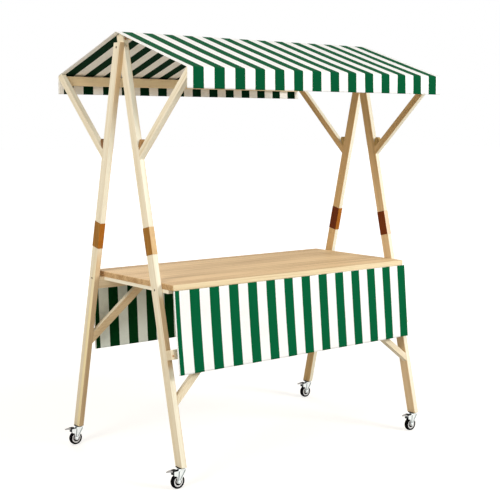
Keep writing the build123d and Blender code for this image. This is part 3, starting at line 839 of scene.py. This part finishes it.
def canopy_profile():
    """(y, z) points of the canopy's outer face from the front hem over the ridge to the rear hem."""
    low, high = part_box("canopy")
    half, ridge, hem = high.y, high.z, low.z
    slope = math.radians(CANOPY_PITCH)
    turn = math.pi / 2 - slope
    eave = ridge - half * math.tan(slope)
    corner_z = eave - EAVE_R * math.tan(turn / 2)

    def on_ridge(a):
        return RIDGE_R * math.sin(a), ridge - RIDGE_R * (1 - math.cos(a))

    count = round((eave - hem) / CANOPY_STEP)
    side = [(half, hem + (corner_z - hem) * k / count) for k in range(count + 1)]
    for k in range(1, EAVE_STEPS + 1):
        a = turn * k / EAVE_STEPS
        side.append((half - EAVE_R + EAVE_R * math.cos(a), corner_z + EAVE_R * math.sin(a)))
    start, end = side[-1], on_ridge(slope)
    count = round(math.dist(start, end) / CANOPY_STEP)
    for k in range(1, count + 1):
        side.append((start[0] + (end[0] - start[0]) * k / count, start[1] + (end[1] - start[1]) * k / count))
    side += [on_ridge(slope * k / RIDGE_STEPS) for k in range(RIDGE_STEPS - 1, 0, -1)]
    return [(-y, z) for y, z in side] + [(0.0, ridge)] + side[::-1]


def valance_wave(x, side, fall):
    """Long shallow folds along a valance with shorter ones on them. fall is 0 at the eave, 1 at the hem."""
    long_fold = noise.noise(Vector((x * LONG_FOLDS, side * 7.0, 0.3)))
    short_fold = noise.noise(Vector((x * SHORT_FOLDS, side * 3.0, fall)))
    return long_fold + SHORT_WEIGHT * short_fold


def canopy():
    """One cloth from hem to hem, sagging a little on each slope and waving a little at its hems."""
    low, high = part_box("canopy")
    path = canopy_profile()
    lengths = running_lengths(path)
    total = lengths[-1]
    drop = high.z - math.tan(math.radians(CANOPY_PITCH)) * high.y - low.z
    span = (total - 2 * drop) / 2
    width = high.x - low.x
    columns = round(width / CANOPY_STEP)
    rows = len(path) - 1

    def base(i, j):
        y, z = path[j]
        forward = max(0.0, min(1.0, -2 * y / (high.y - low.y)))
        x = (low.x + width * i / columns) * (1 - FRONT_INSET * forward / high.x)
        side = -1 if lengths[j] < total / 2 else 1
        from_hem = min(lengths[j], total - lengths[j])
        if from_hem < drop:
            fall = 1 - from_hem / drop
            y += side * (VALANCE_OUT + VALANCE_WAVE * valance_wave(x, side, fall)) * fall ** 1.5
        else:
            share = (from_hem - drop) / span
            hang = 4 * share * (1 - share)
            middle = SAG_AT_ENDS + (1 - SAG_AT_ENDS) * math.cos(math.pi * x / width)
            z -= SLOPE_SAG * hang * middle
            z += SLOPE_UNEVEN * hang * noise.noise(Vector((x * 2.6, y * 3.1, 4.0)))
        return Vector((x, y, z))

    grid = [[base(i, j) for i in range(columns + 1)] for j in range(rows + 1)]

    def point(i, j):
        return grid[j][i], grid_normal(grid, i, j), (low.x + width * i / columns, lengths[j])

    def thickness(i, j):
        to_edge = min(lengths[j], total - lengths[j], width * i / columns, width * (1 - i / columns))
        return HEM_THICK if to_edge < HEM else CLOTH

    bm = cloth_mesh(columns, rows, point, thickness)
    start = STRIPE_PITCH * (1 - STRIPE_SHARE) / 2
    # The canopy's inside skin carries painted shade: a darker green than its outside
    skins = [cloth("canopy_outside", GREEN_CANOPY, WHITE_OUT, start),
             cloth("canopy_inside", GREEN_IN_PAINTED_SHADE, WHITE_IN, start)]
    sheet = mesh_object("canopy_cloth", bm, skins)
    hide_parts("canopy")

    def row_at(distance):
        return min(range(rows + 1), key=lambda j: abs(lengths[j] - distance))

    hems = (row_at(STITCH_INSET), row_at(total - STITCH_INSET))
    inset = round(STITCH_INSET / width * columns)
    sewn = stitching("canopy_stitching", point, columns, rows, hems, inset, skins[0])


# Cloths below the counter: the mesh's step, the folds (their seed, cycles a metre and weights), how far the
# hem stands out at each end, and how far each corner lies in from the node's box
SKIRT_STEP = 0.009
EDGE_NEAR = 0.001
SKIRT_FOLDS = {"front": 11.0, "rear": 23.0}
SKIRT_WAVES = ((3.3, 0.8), (9.0, 0.5))
FOLD_OUT = 0.0022
FOLD_WAVE = 0.0042
FLARE = {"front": {"left": 0.012, "right": -0.004}, "rear": {"left": 0.0, "right": 0.0}}
SKIRT_INSET = {"front": {"top": (0.015, 0.002), "hem": (0.007, 0.004)},
               "rear": {"top": (-0.001, 0.018), "hem": (0.012, -0.001)}}


def hanging_cloth(depth):
    """A cloth that hangs from under the counter's edge in very shallow folds."""
    node = f"{depth}_cloth"
    low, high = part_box(node)
    side = SIDE[depth]
    verts = [v.co for v in NODES[node].data.vertices]
    top_y = max(v.y * side for v in verts if v.z > high.z - EDGE_NEAR) * side
    end_y = max(v.y * side for v in verts if v.z < low.z + EDGE_NEAR) * side
    fall = high.z - low.z
    top, hem, flare = SKIRT_INSET[depth]["top"], SKIRT_INSET[depth]["hem"], FLARE[depth]
    seed = SKIRT_FOLDS[depth]
    (long_folds, long_weight), (short_folds, short_weight) = SKIRT_WAVES
    width = high.x - low.x - sum(top)
    columns, rows = round(width / SKIRT_STEP), round(fall / SKIRT_STEP)

    def base(i, j):
        share = j / rows
        left = low.x + top[0] + (hem[0] - top[0]) * share
        right = high.x - top[1] - (hem[1] - top[1]) * share
        x = left + (right - left) * i / columns
        wave = long_weight * noise.noise(Vector((x * long_folds, seed, 0.2 * share)))
        wave += short_weight * noise.noise(Vector((x * short_folds, seed + 5, 0.5 * share)))
        fold = (FOLD_OUT + FOLD_WAVE * wave) * share ** 1.3
        lift = flare["right"] + (flare["left"] - flare["right"]) * (1 - i / columns)
        y = top_y + (end_y - top_y) * share + side * (fold + lift * share ** 2)
        return Vector((x, y, high.z - fall * share))

    grid = [[base(i, j) for i in range(columns + 1)] for j in range(rows + 1)]

    def point(i, j):
        normal = grid_normal(grid, i, j)
        if normal.y * side < 0:
            normal = -normal
        return grid[j][i], normal, (width * (1 - i / columns), fall * j / rows)

    def thickness(i, j):
        to_edge = min(fall * (1 - j / rows), width * i / columns, width * (1 - i / columns))
        return HEM_THICK if to_edge < HEM else CLOTH

    bm = cloth_mesh(columns, rows, point, thickness)
    skins = [cloth(f"{depth}_outside", GREEN_SKIRT, WHITE_OUT, 0.0, SKIRT_PITCH, width - SELVEDGE),
             cloth(f"{depth}_inside", GREEN_SHADED, WHITE_SHADED, 0.0, SKIRT_PITCH, width - SELVEDGE)]
    sheet = mesh_object(f"{depth}_hanging_cloth", bm, skins)
    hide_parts(node)
    inset = round(STITCH_INSET / SKIRT_STEP)
    sewn = stitching(f"{depth}_cloth_stitching", point, columns, rows, (rows - inset,), inset, skins[0])


# Bolt heads in the legs' counterbores
BOLT_HEAD_R = 0.0056
BOLT_HEAD = 0.0024
BOLT_SOCKET_R = 0.0026
BOLT_SIDES = 24
SOCKET_SIDES = 6
BOLT_STEEL = (0.13, 0.105, 0.08)
COUNTER_BOLT_Z = 0.888
BOLT_RECESS = 0.003


def ring_of(bm, place, radius, height, count):
    """Vertices in a regular ring about the Z axis of a placed frame."""
    turns = [2 * math.pi * k / count for k in range(count)]
    return [bm.verts.new(place @ Vector((radius * math.cos(a), radius * math.sin(a), height))) for a in turns]


def bolt_head(bm, centre, outward):
    """Round head with a domed edge and a six-sided socket, seated on the floor of its recess."""
    turn = Vector(outward).to_track_quat("Z", "Y").to_matrix().to_4x4()
    place = Matrix.Translation(centre) @ turn
    count = BOLT_SIDES
    profile = [(BOLT_HEAD_R, 0.0), (BOLT_HEAD_R, BOLT_HEAD * 0.55), (BOLT_HEAD_R * 0.93, BOLT_HEAD * 0.82),
               (BOLT_HEAD_R * 0.78, BOLT_HEAD)]
    rings = [ring_of(bm, place, radius, height, count) for radius, height in profile]
    rim = ring_of(bm, place, BOLT_SOCKET_R, BOLT_HEAD, SOCKET_SIDES)
    sunk = ring_of(bm, place, BOLT_SOCKET_R, BOLT_HEAD * 0.25, SOCKET_SIDES)
    for a, b in zip(rings, rings[1:]):
        for k in range(count):
            bm.faces.new((a[k], a[(k + 1) % count], b[(k + 1) % count], b[k])).smooth = True
    per = count // SOCKET_SIDES
    for k in range(SOCKET_SIDES):
        after = (k + 1) % SOCKET_SIDES
        outer = [rings[-1][(k * per + n) % count] for n in range(per + 1)]
        bm.faces.new([rim[k]] + outer + [rim[after]])
        bm.faces.new((rim[k], rim[after], sunk[after], sunk[k]))
    bm.faces.new(sunk)
    bm.faces.new(rings[0][::-1])


def bolts():
    """Heads at the lap and at the counter's ends on the outer faces of the legs."""
    bm = bmesh.new()
    slope = math.tan(math.radians(LEAN))
    for depth, end in CORNERS:
        low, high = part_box(f"leg_{depth}_{end}")
        face = high.x if end == "right" else low.x
        x = face - SIDE[end] * BOLT_RECESS
        outward = (SIDE[end], 0, 0)
        y = SIDE[depth] * (CROSS_Z - COUNTER_BOLT_Z) * slope
        bolt_head(bm, Vector((x, y, COUNTER_BOLT_Z)), outward)
        if depth == "rear":
            bolt_head(bm, Vector((x, 0.0, CROSS_Z)), outward)
    bmesh.ops.recalc_face_normals(bm, faces=bm.faces)
    steel = plain("bolt_steel", BOLT_STEEL, 0.5, metallic=1.0, scale=400.0, relief=0.00005)
    mesh_object("bolt_heads", bm, [steel])


# Studio
FLOOR_HALF = 60.0
FLOOR_TONE = (0.56, 0.55, 0.53)
FLOOR_NEAR = 1.5
FLOOR_FAR = 6.0
FLOOR_GLOW = 0.60
LAMPS = {
    "front": {"at": (3.2, -5.6, 3.6), "aim": (0.0, 0.0, 1.1), "size": 2.4, "power": 285.0,
              "colour": (1.0, 0.995, 0.98)},
    "left": {"at": (-5.2, -1.8, 3.6), "aim": (-0.3, 0.0, 1.1), "size": 2.4, "power": 150.0,
             "colour": (1.0, 0.965, 0.905)},
    "back": {"at": (1.5, 5.5, 4.2), "aim": (0.0, 0.0, 1.2), "size": 3.5, "power": 95.0,
             "colour": (1.0, 0.98, 0.95)},
}
AMBIENT = (1.0, 0.955, 0.885)
AMBIENT_STRENGTH = 0.50


def seen_by_eye(tree):
    """1 for rays that show the background itself: from the camera, a mirror or glass."""
    path = add(tree, "ShaderNodeLightPath")
    seen = math_node(tree, "MAXIMUM", path.outputs["Is Camera Ray"], path.outputs["Is Glossy Ray"])
    return math_node(tree, "MAXIMUM", seen, path.outputs["Is Transmission Ray"])


def world():
    """Soft warm light from all round, white to the eye."""
    made = bpy.data.worlds.new("studio")
    bpy.context.scene.world = made
    made.use_nodes = True
    tree = made.node_tree
    tree.nodes.clear()
    soft = add(tree, "ShaderNodeBackground", Strength=AMBIENT_STRENGTH)
    soft.inputs["Color"].default_value = (*AMBIENT, 1.0)
    white = add(tree, "ShaderNodeBackground", Strength=1.0)
    white.inputs["Color"].default_value = (1.0, 1.0, 1.0, 1.0)
    mixed = add(tree, "ShaderNodeMixShader", i0=seen_by_eye(tree), i1=soft.outputs[0], i2=white.outputs[0])
    add(tree, "ShaderNodeOutputWorld", Surface=mixed.outputs[0])


def floor():
    """Pale floor that is white to the eye and keeps a soft shadow."""
    bm = bmesh.new()
    bmesh.ops.create_grid(bm, x_segments=1, y_segments=1, size=FLOOR_HALF)
    data = bpy.data.meshes.new("floor")
    bm.to_mesh(data)
    bm.free()
    piece = bpy.data.objects.new("floor", data)
    bpy.context.scene.collection.objects.link(piece)
    made = bpy.data.materials.new("floor")
    made.use_nodes = True
    tree = made.node_tree
    tree.nodes.clear()
    pale = add(tree, "ShaderNodeBsdfDiffuse")
    pale.inputs["Color"].default_value = (*FLOOR_TONE, 1.0)
    far = vector_node(tree, "LENGTH", add(tree, "ShaderNodeTexCoord").outputs["Object"])
    shine = ramp(tree, far, FLOOR_NEAR, FLOOR_FAR, FLOOR_GLOW, 1.0)
    glow = add(tree, "ShaderNodeEmission", Strength=math_node(tree, "MULTIPLY", shine, seen_by_eye(tree)))
    surface = add(tree, "ShaderNodeAddShader", i0=pale.outputs[0], i1=glow.outputs[0])
    add(tree, "ShaderNodeOutputMaterial", Surface=surface.outputs[0])
    data.materials.append(made)


def lamps():
    """Large soft lamps in front, at the left above and behind."""
    for name, spec in LAMPS.items():
        data = bpy.data.lights.new(name, "AREA")
        data.shape = "DISK"
        data.size = spec["size"]
        data.energy = spec["power"]
        data.color = spec["colour"]
        lamp = bpy.data.objects.new(name, data)
        bpy.context.scene.collection.objects.link(lamp)
        lamp.location = spec["at"]
        lamp.rotation_euler = (Vector(spec["aim"]) - Vector(spec["at"])).to_track_quat("-Z", "Y").to_euler()


def camera():
    """The photograph's camera."""
    data = bpy.data.cameras.new("camera")
    data.sensor_fit = "HORIZONTAL"
    data.sensor_width = SENSOR_MM
    data.lens = FOCAL_PX / PICTURE_PX * SENSOR_MM
    piece = bpy.data.objects.new("camera", data)
    bpy.context.scene.collection.objects.link(piece)
    piece.location = CAMERA_AT
    piece.rotation_euler = (math.radians(90 + CAMERA_PITCH), 0.0, math.radians(CAMERA_AZIMUTH))
    bpy.context.scene.camera = piece


bpy.context.scene.view_settings.view_transform = "Standard"
camera()
world()
floor()
lamps()
dress_end_frames()
dress_rails()
dress_fittings()
dress_castors()
canopy()
hanging_cloth("front")
hanging_cloth("rear")
bolts()
